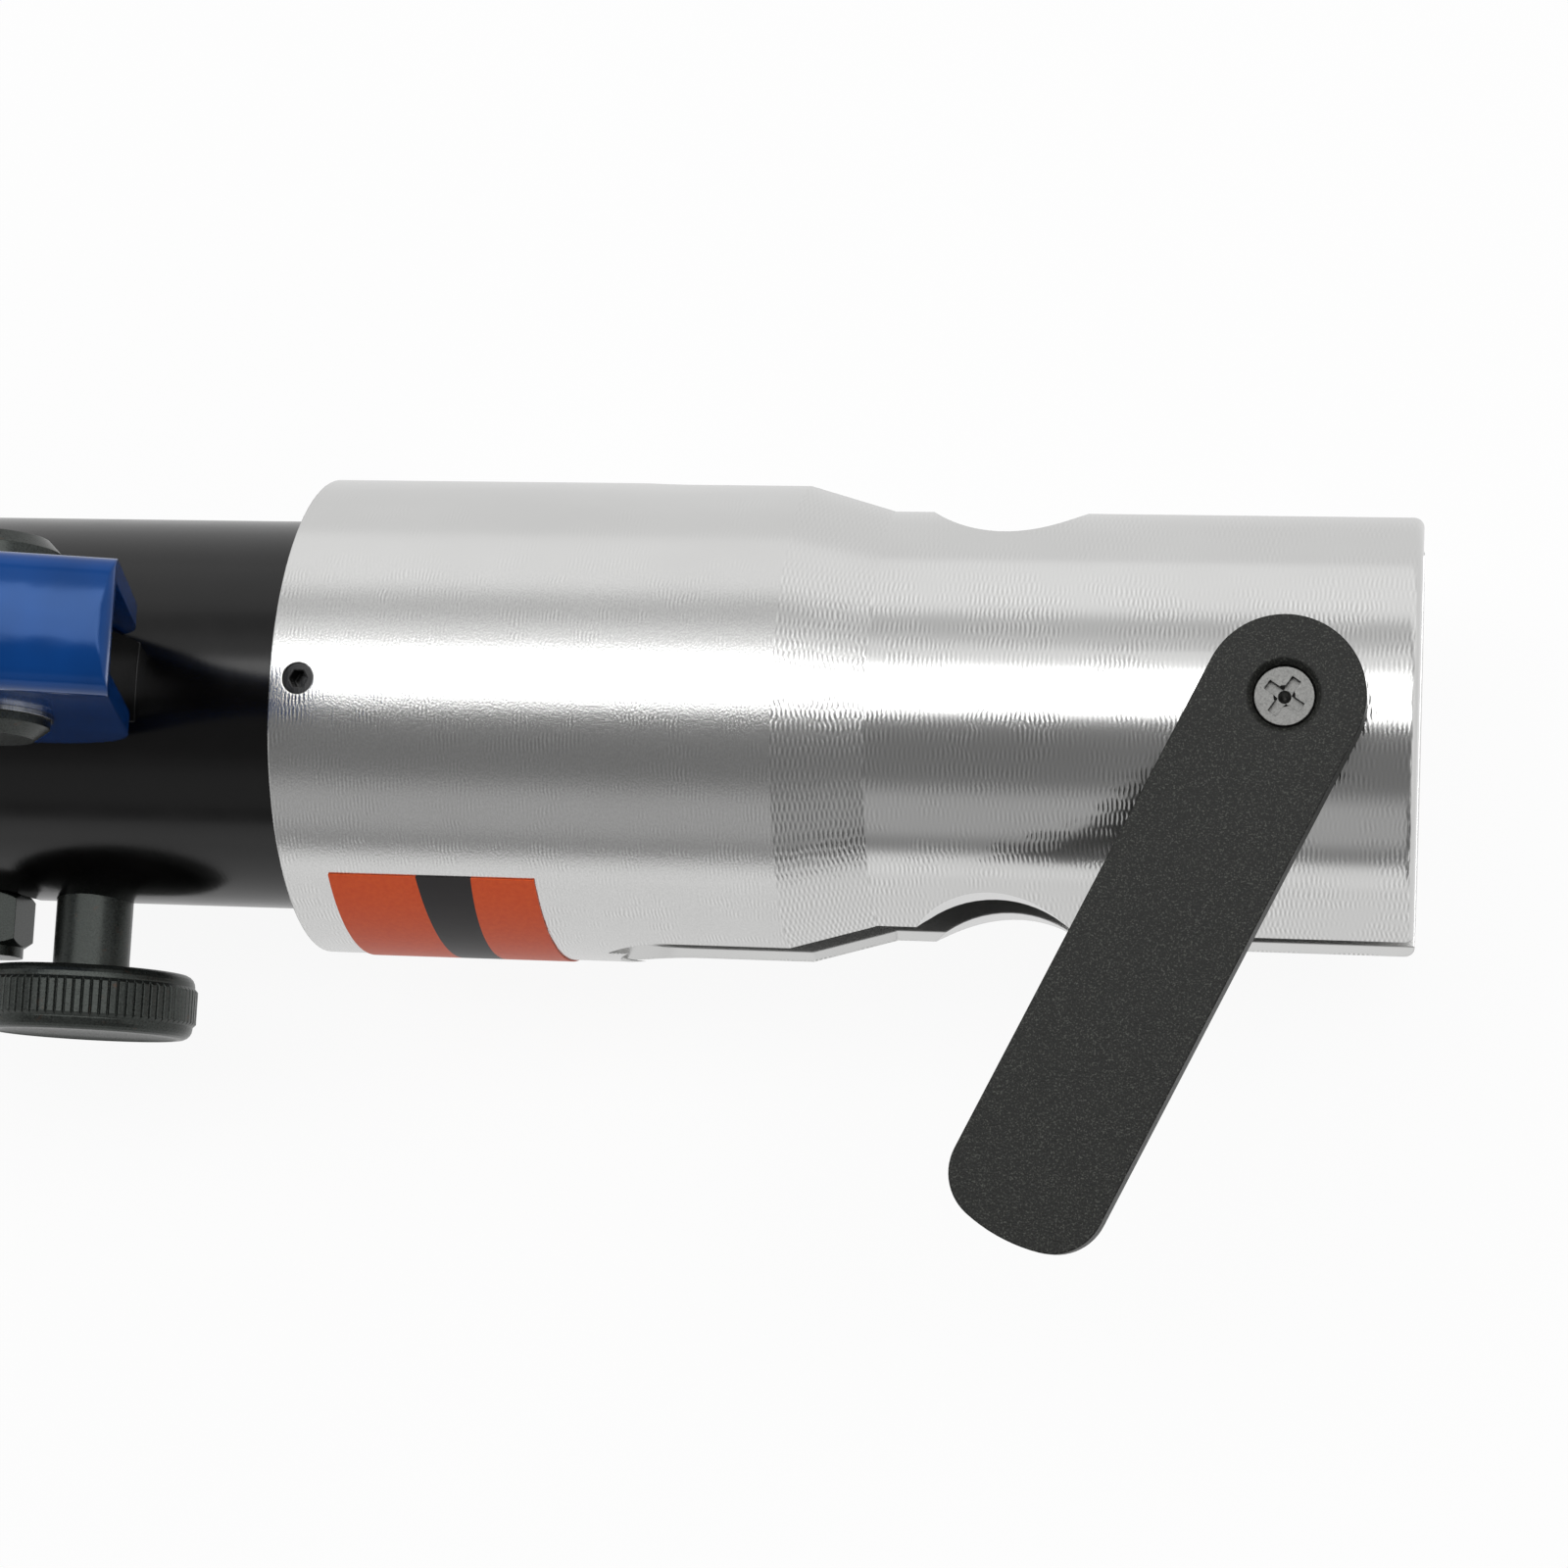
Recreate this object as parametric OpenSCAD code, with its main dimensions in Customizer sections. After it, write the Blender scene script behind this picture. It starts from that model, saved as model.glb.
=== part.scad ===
// Manual hydraulic crimping tool with an open fork head, a pump handle and a fixed oil-filled handle.
// X runs along the tool towards the nose, Y across it, and Z up towards the pump handle.
// The origin is the centre of the jaw pin, on the tool's axis.

/* [Fork head] */
// Diameter of the head's large cylinder
head_d = 62; // [58:0.5:70]
// Diameter of the fork's nose
nose_d = 56; // [50:0.5:57]
// Length of the head from its back edge to its nose
head_len = 140; // [134:1:170]
// Distance from the jaw pin to the end of the nose
pin_to_nose = 15.5; // [12:0.5:20]
// Length of the large cylinder
shank_len = 63; // [58:1:70]
// Length of the cone between the two diameters
cone_len = 11; // [6:0.5:14]
// Radius of the rounded edge at the nose
nose_round = 1.3; // [0.5:0.1:3]
// Width of the slot that takes the jaws
slot_w = 16.6; // [16.4:0.2:20]
// Chamfer along the slot's outer edges
slot_chamfer = 1.15; // [0.4:0.05:1.6]
// Distance from the head's back edge to the closed end of the slot
slot_back = 39.6; // [38:0.2:42]
// Radius of the half-round notches above and below the fork
notch_r = 14.3; // [10:0.1:18]
// Distance from the jaw pin back to the middle of the notches
notch_behind = 35.8; // [30:0.2:38]
// Depth of the notches in the nose's outline
notch_depth = 5.5; // [3:0.1:7]

/* [Swivel and label] */
// Diameter of the body's spigot that the head turns on
spigot_d = 44; // [42:0.5:46]
// Length of the spigot inside the head
spigot_len = 44; // [43:0.5:45]
// Distance from the head's back edge to the retaining screws
screw_back = 3.6; // [3:0.1:5]
// Thread diameter of the retaining screws
set_screw_d = 4; // [3:0.5:5]
// Length of the label along the head
label_len = 26.5; // [20:0.5:32]
// Distance from the head's back edge to the label
label_back = 6; // [6:0.5:10]
// Angle that the label wraps round the head
label_wrap = 84; // [60:1:120]
// Thickness of the label
label_t = 0.2; // [0.15:0.05:0.4]

/* [Jaw pin and lock lever] */
// Diameter of the jaw pin
pin_d = 12; // [10:0.5:13]
// Length of the lock lever from the pin to its tip
lever_len = 71.5; // [60:0.5:90]
// Width of the lock lever
lever_w = 19.2; // [17:0.2:22]
// Thickness of the lock lever
lever_t = 5.2; // [5:0.1:7]
// Direction of the lock lever at rest, from +X
lever_angle = -115.5; // [-140:0.5:-60]
// Corner radius at the lever's tip
lever_corner = 6.3; // [3:0.1:7]
// Radius of the lever's crowned tip between its corners
lever_tip_r = 20; // [16:1:40]
// Thread diameter of the lever's screw
lever_screw_d = 4; // [3:0.5:5]

/* [Ram and rollers] */
// Bore of the hydraulic cylinder
ram_bore = 32; // [28:0.5:33]
// Diameter of the ram's rod, which runs between the head's cheeks
rod_d = 16; // [13:0.2:16]
// Length of the piston
piston_len = 10; // [8:0.5:12]
// Diameter of the rollers
roller_d = 20; // [16:0.5:21]
// Distance between the two rollers' centres
roller_pitch = 22; // [21.6:0.2:24]
// Thickness of the rollers
roller_t = 8; // [6:0.5:9]
// Diameter of the rollers' pins
roller_pin_d = 7; // [5:0.5:8]

/* [Body] */
// Diameter of the black body
body_d = 51; // [50:0.5:56]
// Length of the body behind the head
body_len = 75; // [73:1:95]
// Distance from the head's back edge to the bottom of the cylinder's bore
bore_back = 20; // [18:0.5:21]

/* [Pump] */
// Distance from the head's back edge to the handle's pivot
pivot_back = 29.3; // [28.5:0.1:31]
// Height of the handle's pivot above the body's surface
pivot_rise = 25.3; // [25:0.1:30]
// Diameter of the handle's pivot pin
pivot_d = 8; // [6:0.5:9]
// Diameter of the pivot pin's heads
pivot_head_d = 17; // [14:0.5:19]
// Width of the body's lug between the yoke's sides
lug_w = 10; // [9:0.1:10.2]
// Radius of the lug's round top
lug_r = 10; // [9:0.1:11]
// Distance from the handle's pivot to the plunger's pin
plunger_arm = 22; // [21.5:0.1:23]
// Diameter of the plunger
plunger_d = 9; // [8:0.5:9.5]
// Length of the plunger from its pin down to its lower end
plunger_len = 46; // [44:0.5:47]
// Diameter of the plunger's pin
plunger_pin_d = 6; // [5:0.5:6.5]

/* [Pump handle] */
// Angle of the pump handle above the tool's axis at rest
handle_angle = 15.5; // [14:0.5:17]
// Outer width of the yoke
yoke_w = 16.1; // [15.8:0.1:17]
// Thickness of the yoke's sheet
yoke_sheet = 2.7; // [2.2:0.1:2.8]
// Distance from the pivot to the yoke's front edge
yoke_front = 16.8; // [15:0.2:17]
// Height of the yoke's web above the pivot
yoke_rise = 22.6; // [20:0.1:24]
// Distance from the pivot back to the socket of the handle tube
yoke_back = 68; // [62:1:80]
// Radius of the web's crown across the yoke
web_crown = 30; // [24:1:80]
// Radius of the yoke's rounded front corners
yoke_corner = 14; // [13.5:0.5:16]
// Length of the socket that holds the handle tube
socket_len = 32; // [25:1:40]
// Outer diameter of the pump handle's tube
lift_tube_d = 22; // [18:0.5:25]
// Distance from the pivot to the end of the pump handle
handle_len = 395; // [340:5:480]
// Diameter of the pump handle's grip
lift_grip_d = 31; // [28:0.5:34]
// Length of the pump handle's grip
lift_grip_len = 125; // [100:5:150]

/* [Fixed handle] */
// Outer diameter of the oil reservoir tube
tank_d = 38; // [36:0.5:42]
// Wall of the reservoir tube
tank_wall = 2; // [1.5:0.1:3]
// Length of the reservoir tube behind the body
tank_len = 315; // [260:5:380]
// Diameter of the fixed grip
grip_d = 44; // [43:0.5:50]
// Length of the fixed grip
grip_len = 130; // [100:5:150]
// Depth of the finger waves in both grips
grip_wave = 0.9; // [0.3:0.1:1.4]

/* [Release and relief valves] */
// Distance from the head's back edge to the release knob's axis
release_back = 32.05; // [31.5:0.05:33]
// Diameter of the release spindle
spindle_d = 10; // [8:0.5:10.5]
// Distance from the body's surface to the release knob
knob_standoff = 9.2; // [9.1:0.1:14]
// Diameter of the release knob
knob_d = 28.4; // [24:0.2:30]
// Thickness of the release knob
knob_t = 8.5; // [6:0.1:12]
// Number of ribs round the release knob
knob_ribs = 78; // [40:2:90]
// Distance from the head's back edge to the relief valve's axis
relief_back = 47.7; // [47.5:0.1:50]
// Width across the flats of the relief valve's plug
relief_af = 12; // [11.5:0.5:14]

/* [Hidden] */
$fn = 64;

// Small play between parts that slide or turn on each other
fit = 0.05;
// Thickness of the label's glue
glue_gap = 0.03;
// Overshoot that lets a cut break through a surface
over = 1;

// Radii of the turned outlines
head_r = head_d / 2;
nose_r = nose_d / 2;
body_r = body_d / 2;
spigot_r = spigot_d / 2;
pin_r = pin_d / 2;
// Places along the tool's axis, from the jaw pin
nose_x = pin_to_nose;
head_x = pin_to_nose - head_len;
cone_x = head_x + shank_len;
slot_x = head_x + slot_back;
spigot_x = head_x + spigot_len;
body_x = head_x - body_len;
notch_x = -notch_behind;
// Slack in front of the spigot, where the head's bore ends
bore_slack = 2;
// The chamfer on the cone is a hair shallower than its neighbours
edge_lift = 0.06;

// Retaining groove and screws of the swivel
groove_w = set_screw_d + 0.6;
groove_depth = 2.2;
screw_count = 3;
screw_recess = 0.3;
hex_ratio = 0.5;

// Jaw pin: it starts inside the far cheek and ends under the lever
pin_low = -nose_r + 1.6;
lever_gap = 0.4;
lever_low = nose_r + lever_gap;
lever_high = lever_low + lever_t;
pin_head_t = 2.4;
pin_head_d = pin_d - 2;
detent_d = 4;
detent_up = 5;
detent_out = pin_r - detent_d / 2;
// Screw of the lever, a countersunk head in a deeper pocket
screw_head_d = 1.82 * lever_screw_d;
screw_head_t = 0.46 * lever_screw_d;
screw_rim = 0.25;
seat_gap = 0.12;
pocket_sink = 0.95;
pocket_flare = 0.75;
pocket_lip = 0.25;
screw_len = 3 * lever_screw_d;

// Ram, from the bottom of the bore forwards
bore_x = head_x - bore_back;
piston_x = bore_x + 0.5;
piston_front = piston_x + piston_len;
gland_len = 10;
gland_r = ram_bore / 2 + 2;
gland_x = spigot_x - gland_len;
carriage_x = spigot_x + 1;
carriage_wall = 7;
carriage_gap = 0.3;
carriage_t = slot_w - 2 * carriage_gap;
roller_x = carriage_x + carriage_wall + roller_d / 2 + 1;
roller_slot = roller_t + 0.4;
carriage_arm = 8;
rod_tip_d = 11;
dowel_d = 3;

// Pump: the plunger's pin swings through equal angles below and above the pivot
pivot_x = head_x - pivot_back;
pivot_z = body_r + pivot_rise;
swing_low = 25;
pin_drop = swing_low - handle_angle;
plunger_pin_x = pivot_x - plunger_arm * cos(pin_drop);
plunger_pin_z = pivot_z - plunger_arm * sin(pin_drop);
// The plunger stands halfway between the ends of its pin's arc
plunger_x = pivot_x - plunger_arm * (1 + cos(swing_low)) / 2;
eye_play = plunger_arm * (1 - cos(swing_low)) / 2 + 0.3;
eye_slot_h = plunger_pin_d + 0.5;
eye_w = plunger_pin_d + 2 * eye_play + 7;
eye_rim = 3.7;
eye_h = plunger_pin_d + 2 * eye_rim;
plunger_low = plunger_pin_z - plunger_len;
plunger_bore_z = pivot_z - plunger_arm * sin(swing_low) - plunger_len - 1.5;
spot_z = body_r - 1.5;
pump_gland_d = 15;
pump_gland_len = 7;
seal_h = 2;

// Oil passages and check valves
passage_d = 3;
check_d = 5;
check_pocket = check_d + 0.2;
passage_step = 4;
suction_z = plunger_bore_z + passage_step;
delivery_z = plunger_bore_z + 2 * passage_step;
check_room = 9;
suction_seat = plunger_x - plunger_d / 2 - check_room;
// Distance from a seat's plane to the middle of a ball that rests on the passage's edge
ball_up = sqrt(pow(check_d / 2, 2) - pow(passage_d / 2, 2));

// Yoke
yoke_r = yoke_w / 2;
yoke_low = pivot_rise - 0.1;
yoke_bend = 3;
yoke_nose = 1.9;
yoke_inner_bend = 0.6;
socket_d = lift_tube_d + 4;
socket_up = yoke_rise - socket_d / 2;
web_hollow = 1.9;
web_land = 0.5;
pivot_head_t = 5;
pivot_nut_t = 2.5;
washer_t = 0.6;
lift_tube_wall = 1.5;
plug_t = 5;

// Fixed handle
tank_r = tank_d / 2;
tank_bore_r = tank_r - tank_wall;
neck_len = 18;
snout_len = 10;
tank_x = body_x - tank_len;
tail_x = body_x - neck_len - snout_len;
cap_t = 9;
cap_plug = 14;
cap_r = grip_d / 2 - 1;
filler_d = 14;
bladder_r = tank_bore_r - 1.5;
bladder_wall = 1.5;
bladder_len = tank_len - 50;
clamp_len = 6;

// Release and relief valves
release_x = head_x - release_back;
knob_y = -body_r - knob_standoff;
spindle_end = 6;
needle_len = 8;
spindle_groove_w = 2.6;
spindle_groove_depth = 1.2;
knob_round = 1.5;
knob_shoulder = 1.7;
dish_depth = 1.2;
rib_depth = 0.36;
rib_top = 0.62;
relief_x = head_x - relief_back;
relief_seat = body_r - 0.6;
relief_head_t = 7;
relief_boss_t = 1.4;
relief_thread_d = 10;
relief_depth = 14;
relief_y = -body_r + relief_depth;
relief_shank = relief_depth - 8;
relief_spring_r = 2.8;
relief_spring_bore = 1.8;
// Return passage that both valves open into, beside the relief valve's seat
return_y = relief_y - passage_d / 2 + 0.5;
return_z = -4;

// A straight round bar between two places on the X axis
module bar_x(x0, x1, r) {
    translate([x0, 0, 0])
        rotate([0, 90, 0])
            cylinder(h = x1 - x0, r = r);
}

// A straight round bar between two places along Y
module bar_y(y0, y1, r) {
    translate([0, y1, 0])
        rotate([90, 0, 0])
            cylinder(h = y1 - y0, r = r);
}

// A straight round bar between two heights
module bar_z(z0, z1, r) {
    translate([0, 0, z0])
        cylinder(h = z1 - z0, r = r);
}

// A body turned round the X axis from [radius, x] points
module turned_x(points) {
    rotate([0, 90, 0])
        rotate_extrude()
            polygon(points);
}

// A body turned round the Y axis from [radius, y] points
module turned_y(points) {
    rotate([-90, 0, 0])
        rotate_extrude()
            polygon(points);
}

// A body turned round the Z axis from [radius, z] points
module turned_z(points) {
    rotate_extrude()
        polygon(points);
}

// A plate drawn in X and Z and spread evenly across Y
module plate_y(width) {
    rotate([90, 0, 0])
        linear_extrude(width, center = true)
            children();
}

// Points of an arc about [cx, cy] from angle a0 to a1
function arc(cx, cy, r, a0, a1, steps = 8) =
    [for (i = [0 : steps]) let (a = a0 + (a1 - a0) * i / steps) [cx + r * cos(a), cy + r * sin(a)]];

// Places a piece in the pump handle's own frame: the pivot at zero, the nose end along +X
module in_handle() {
    translate([pivot_x, 0, pivot_z])
        rotate([0, handle_angle, 0])
            children();
}

// Fork head

// Outline of the turned head before the slot and notches
module head_blank() {
    turned_x(concat(
        [[0, head_x], [head_r, head_x], [head_r, cone_x], [nose_r, cone_x + cone_len]],
        [for (p = arc(nose_r - nose_round, nose_x - nose_round, nose_round, 0, 90)) p],
        [[0, nose_x]]
    ));
}

// Outline of the slot seen from the side, round at its closed end
module slot_outline() {
    union() {
        translate([slot_x + slot_w / 2, 0])
            circle(d = slot_w);
        translate([slot_x + slot_w / 2, -slot_w / 2])
            square([nose_x - slot_x + over, slot_w]);
    }
}

// The slot with its chamfered edges
module jaw_slot() {
    rotate([90, 0, 0])
        linear_extrude(2 * (head_r + over), center = true)
            slot_outline();
    for (side = [-1, 1])
        slot_edges(side);
}

// Chamfers along the slot on one side: round its closed end, then along each diameter
module slot_edges(side) {
    end_x = slot_x + slot_w / 2;
    drop = edge_height(head_r) - edge_height(nose_r);
    slope = atan(drop / cone_len);
    translate([end_x, 0, 0])
        rotate([-90 * side, 0, 0])
            turned_z([
                [0, edge_height(head_r) - slot_chamfer],
                [slot_w / 2, edge_height(head_r) - slot_chamfer],
                [slot_w / 2 + slot_chamfer + over, edge_height(head_r) + over],
                [0, edge_height(head_r) + over]
            ]);
    edge_run(end_x, cone_x + 2, edge_height(head_r), 0, side);
    edge_run(
        cone_x - over, cone_x + cone_len / cos(slope) + 0.3,
        edge_height(head_r) + edge_lift + over * tan(slope), slope, side
    );
    edge_run(cone_x + cone_len - 0.2, nose_x + over, edge_height(nose_r), 0, side);
}

// Height of a cheek's outer edge on a cylinder of radius r
function edge_height(r) = sqrt(r * r - pow(slot_w / 2 + slot_chamfer, 2));

// One straight run that chamfers both cheeks' edges, starting at height h and falling by slope
module edge_run(x0, x1, h, slope, side) {
    e = slot_w / 2;
    c = slot_chamfer;
    translate([x0, side * h, 0])
        rotate([0, 0, -side * slope])
            rotate([90, 0, 90])
                linear_extrude(x1 - x0)
                    polygon([
                        [-side * c, -e], [side * over, -e - c - over],
                        [side * over, e + c + over], [-side * c, e]
                    ]);
}

// The head: turned, bored for the spigot, slotted for the jaws and notched above and below
module fork_head() {
    color("silver")
        difference() {
            head_blank();
            bar_x(head_x - over, spigot_x + bore_slack, spigot_r + fit);
            jaw_slot();
            for (side = [-1, 1])
                translate([notch_x, side * (nose_r - notch_depth + notch_r), -head_r])
                    cylinder(h = 2 * head_r, r = notch_r);
            bar_z(-head_r, head_r, pin_r + fit);
            translate([0, 0, pin_low + detent_up])
                turned_z([
                    [0, -1.6], [pin_r - 0.4, -1.6], [pin_r + 0.6, -0.4],
                    [pin_r + 0.6, 0.4], [pin_r - 0.4, 1.6], [0, 1.6]
                ]);
            for (i = [0 : screw_count - 1])
                rotate([360 * i / screw_count, 0, 0])
                    translate([head_x + screw_back, 0, 0])
                        bar_z(0, head_r + over, set_screw_d / 2);
        }
}

// Hexagon socket screws whose tips run in the spigot's groove
module head_set_screws() {
    tip_z = spigot_r - groove_depth + 0.4;
    color("dimgray")
        for (i = [0 : screw_count - 1])
            rotate([360 * i / screw_count, 0, 0])
                translate([head_x + screw_back, 0, 0])
                    difference() {
                        turned_z([
                            [0, tip_z], [set_screw_d / 2 - 0.6, tip_z], [set_screw_d / 2, tip_z + 0.6],
                            [set_screw_d / 2, head_r - screw_recess], [0, head_r - screw_recess]
                        ]);
                        translate([0, 0, head_r - screw_recess - 2.2])
                            cylinder(h = 2.2 + over, d = set_screw_d * hex_ratio / cos(30), $fn = 6);
                    }
}

// Plain wrap-round label below the head's rear edge
module head_label() {
    color("darkorange")
        translate([head_x + label_back, 0, 0])
            rotate([-90, 0, 0])
                rotate([0, 90, 0])
                    linear_extrude(label_len)
                        difference() {
                            intersection() {
                                circle(r = head_r + glue_gap + label_t);
                                polygon([
                                    [0, 0],
                                    [2 * head_r * cos(label_wrap / 2), 2 * head_r * sin(label_wrap / 2)],
                                    [3 * head_r, 0],
                                    [2 * head_r * cos(label_wrap / 2), -2 * head_r * sin(label_wrap / 2)]
                                ]);
                            }
                            circle(r = head_r + glue_gap);
                        }
}

// Jaw pin and lever

// Ground pin through both cheeks, with a cross hole for the detent
module jaw_pin() {
    color("lightgray")
        difference() {
            turned_z([
                [0, pin_low], [pin_r - 1, pin_low], [pin_r, pin_low + 1], [pin_r, lever_low],
                [pin_head_d / 2, lever_low], [pin_head_d / 2, lever_low + pin_head_t], [0, lever_low + pin_head_t]
            ]);
            translate([0, 0, pin_low + detent_up])
                bar_x(-pin_r + 2, pin_r + over, detent_d / 2 + fit);
            bar_z(lever_low + pin_head_t - screw_len, lever_high, lever_screw_d / 2);
        }
}

// Ball that clicks into the groove of the far cheek
module detent_ball() {
    color("silver")
        translate([detent_out, 0, pin_low + detent_up])
            sphere(d = detent_d);
}

// Short spring behind the ball, a plain sleeve
module detent_spring() {
    color("gray")
        translate([0, 0, pin_low + detent_up])
            difference() {
                bar_x(-pin_r + 2.1, detent_out, detent_d / 2 - 0.3);
                bar_x(-pin_r, pin_r, detent_d / 2 - 0.8);
                translate([detent_out, 0, 0])
                    sphere(d = detent_d + 0.1);
            }
}

// Outline of the lever: a round pivot end and a crowned tip that runs into its corners
module lever_outline() {
    half = lever_w / 2;
    corner_y = half - lever_corner;
    tip_x = lever_len - lever_tip_r;
    corner_x = tip_x + sqrt(pow(lever_tip_r - lever_corner, 2) - pow(corner_y, 2));
    reach = asin(corner_y / (lever_tip_r - lever_corner));
    union() {
        circle(r = half);
        translate([0, -half])
            square([corner_x, lever_w]);
        for (side = [-1, 1])
            translate([corner_x, side * corner_y])
                circle(r = lever_corner);
        translate([tip_x, 0])
            intersection() {
                circle(r = lever_tip_r);
                polygon([
                    [0, 0], [2 * lever_tip_r * cos(reach), -2 * lever_tip_r * sin(reach)],
                    [2 * lever_tip_r * cos(reach), 2 * lever_tip_r * sin(reach)]
                ]);
            }
    }
}

// Moulded lever that turns and pulls the pin
module lock_lever() {
    head_rim = lever_high - pocket_sink - screw_rim;
    head_low = lever_high - pocket_sink - screw_head_t;
    color("#262726")
        rotate([0, 0, lever_angle])
            difference() {
                translate([0, 0, lever_low])
                    linear_extrude(lever_t)
                        lever_outline();
                bar_z(lever_low - over, lever_low + pin_head_t + fit, pin_head_d / 2 + fit);
                bar_z(lever_low, lever_high + over, lever_screw_d / 2 + 0.1);
                turned_z([
                    [0, head_low], [lever_screw_d / 2 + seat_gap, head_low],
                    [screw_head_d / 2 + seat_gap, head_rim], [screw_head_d / 2 + seat_gap, lever_high - pocket_sink],
                    [screw_head_d / 2 + pocket_flare - pocket_lip, lever_high - pocket_lip],
                    [screw_head_d / 2 + pocket_flare, lever_high],
                    [screw_head_d / 2 + pocket_flare, lever_high + over], [0, lever_high + over]
                ]);
            }
}

// Countersunk cross-recess screw in the lever's pocket
module lever_screw() {
    top = lever_high - pocket_sink;
    shank_low = lever_low + pin_head_t - screw_len + 0.6;
    edge = 0.15;
    recess_w = 0.3 * lever_screw_d;
    recess_l = 0.68 * screw_head_d;
    recess_depth = 0.24 * lever_screw_d;
    core_r = 0.32 * lever_screw_d;
    color("gainsboro")
        difference() {
            turned_z([
                [0, shank_low], [lever_screw_d / 2, shank_low],
                [lever_screw_d / 2, top - screw_head_t], [screw_head_d / 2, top - screw_rim],
                [screw_head_d / 2, top - edge], [screw_head_d / 2 - edge, top], [0, top]
            ]);
            for (a = [-34, 56])
                rotate([0, 0, a])
                    translate([-recess_l / 2, -recess_w / 2, top - recess_depth])
                        cube([recess_l, recess_w, recess_depth + over]);
            turned_z([
                [0, top - 2.2 * recess_depth], [0.3 * core_r, top - 1.8 * recess_depth],
                [core_r, top], [core_r, top + over], [0, top + over]
            ]);
        }
}

// Body and ram

// Outline of the body: rear snout and neck, main diameter and front spigot with its groove
module body_blank() {
    snout_r = bladder_r - bladder_wall;
    turned_x([
        [0, body_x - neck_len - snout_len], [snout_r, body_x - neck_len - snout_len],
        [snout_r, body_x - neck_len], [tank_bore_r - fit, body_x - neck_len], [tank_bore_r - fit, body_x],
        [body_r - 1, body_x], [body_r, body_x + 1], [body_r, head_x - fit],
        [spigot_r, head_x - fit], [spigot_r, head_x + screw_back - groove_w / 2],
        [spigot_r - groove_depth, head_x + screw_back - groove_w / 2],
        [spigot_r - groove_depth, head_x + screw_back + groove_w / 2],
        [spigot_r, head_x + screw_back + groove_w / 2], [spigot_r, spigot_x - 0.8],
        [spigot_r - 0.8, spigot_x], [0, spigot_x]
    ]);
}

// Lug that carries the handle's pivot, round on top
module body_lug() {
    translate([pivot_x, 0, 0])
        plate_y(lug_w)
            union() {
                translate([0, pivot_z])
                    circle(r = lug_r);
                translate([-lug_r, body_r / 2])
                    square([2 * lug_r, pivot_z - body_r / 2]);
            }
}

// Machined body: cylinder, pump block, lug and spigot in one piece
module pump_body() {
    color("#2a2a2c")
        difference() {
            union() {
                body_blank();
                body_lug();
            }
            bar_x(bore_x, spigot_x + over, ram_bore / 2);
            bar_x(gland_x, spigot_x + over, gland_r);
            translate([pivot_x, 0, pivot_z])
                bar_y(-lug_w, lug_w, pivot_d / 2 + fit);
            plunger_cuts();
            passage_cuts();
            valve_cuts();
        }
}

// Plunger bore with its seal and gland seats, under a milled flat
module plunger_cuts() {
    translate([plunger_x, 0, 0]) {
        bar_z(plunger_bore_z, body_r + over, plunger_d / 2 + fit);
        bar_z(spot_z - pump_gland_len - seal_h, body_r + over, pump_gland_d / 2);
        bar_z(spot_z, body_r + over, pump_gland_d / 2 + 0.6);
    }
}

// Suction passage from the reservoir, delivery passage to the cylinder and return passage
module passage_cuts() {
    translate([0, 0, suction_z]) {
        bar_x(tail_x - over, plunger_x, passage_d / 2);
        bar_x(suction_seat, plunger_x - plunger_d / 2 - 2, check_pocket / 2);
    }
    translate([0, 0, delivery_z]) {
        bar_x(plunger_x, bore_x + over, passage_d / 2);
        bar_x(bore_x - check_room, bore_x - 2, check_pocket / 2);
    }
    translate([0, return_y, return_z])
        bar_x(tail_x - over, release_x, passage_d / 2);
}

// Bores of the release spindle and the relief valve, both from the -Y side
module valve_cuts() {
    translate([release_x, 0, 0]) {
        bar_y(-body_r - over, -spindle_end, spindle_d / 2 + fit);
        bar_y(-spindle_end - over, 0, passage_d / 2);
    }
    translate([relief_x, 0, 0]) {
        bar_y(-body_r - over, relief_y, relief_thread_d / 2);
        bar_y(relief_y - over, 0, passage_d / 2);
        bar_y(-body_r - over, -relief_seat, relief_af / cos(30) / 2 + 0.6);
    }
}

// Screwed bush in the mouth of the cylinder
module gland_nut() {
    color("darkgoldenrod")
        difference() {
            bar_x(gland_x, spigot_x, gland_r);
            bar_x(gland_x - over, spigot_x + over, rod_d / 2 + fit);
            bar_x(spigot_x - 3.5, spigot_x + over, rod_d / 2 + 3);
            for (side = [-1, 1])
                translate([0, side * (rod_d / 2 + 5.4), 0])
                    bar_x(spigot_x - 3, spigot_x + over, 1.5);
        }
}

// Wiper ring in the front of the bush
module rod_wiper() {
    color("#1d1d1d")
        difference() {
            bar_x(spigot_x - 3.5, spigot_x - 0.2, rod_d / 2 + 3);
            bar_x(spigot_x - 4, spigot_x, rod_d / 2 + fit);
        }
}

// Piston and rod in one piece, with a turned tip that plugs into the carriage
module piston_rod() {
    piston_r = ram_bore / 2 - fit;
    color("lightsteelblue")
        difference() {
            turned_x([
                [0, piston_x], [piston_r - 0.8, piston_x], [piston_r, piston_x + 0.8],
                [piston_r, piston_x + 3], [piston_r - 3, piston_x + 3],
                [piston_r - 3, piston_x + piston_len - 3], [piston_r, piston_x + piston_len - 3],
                [piston_r, piston_front], [rod_d / 2, piston_front], [rod_d / 2, carriage_x],
                [rod_tip_d / 2, carriage_x], [rod_tip_d / 2, carriage_x + carriage_wall],
                [0, carriage_x + carriage_wall]
            ]);
            translate([carriage_x + carriage_wall / 2, 0, 0])
                bar_z(-carriage_t, carriage_t, dowel_d / 2);
        }
}

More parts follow.
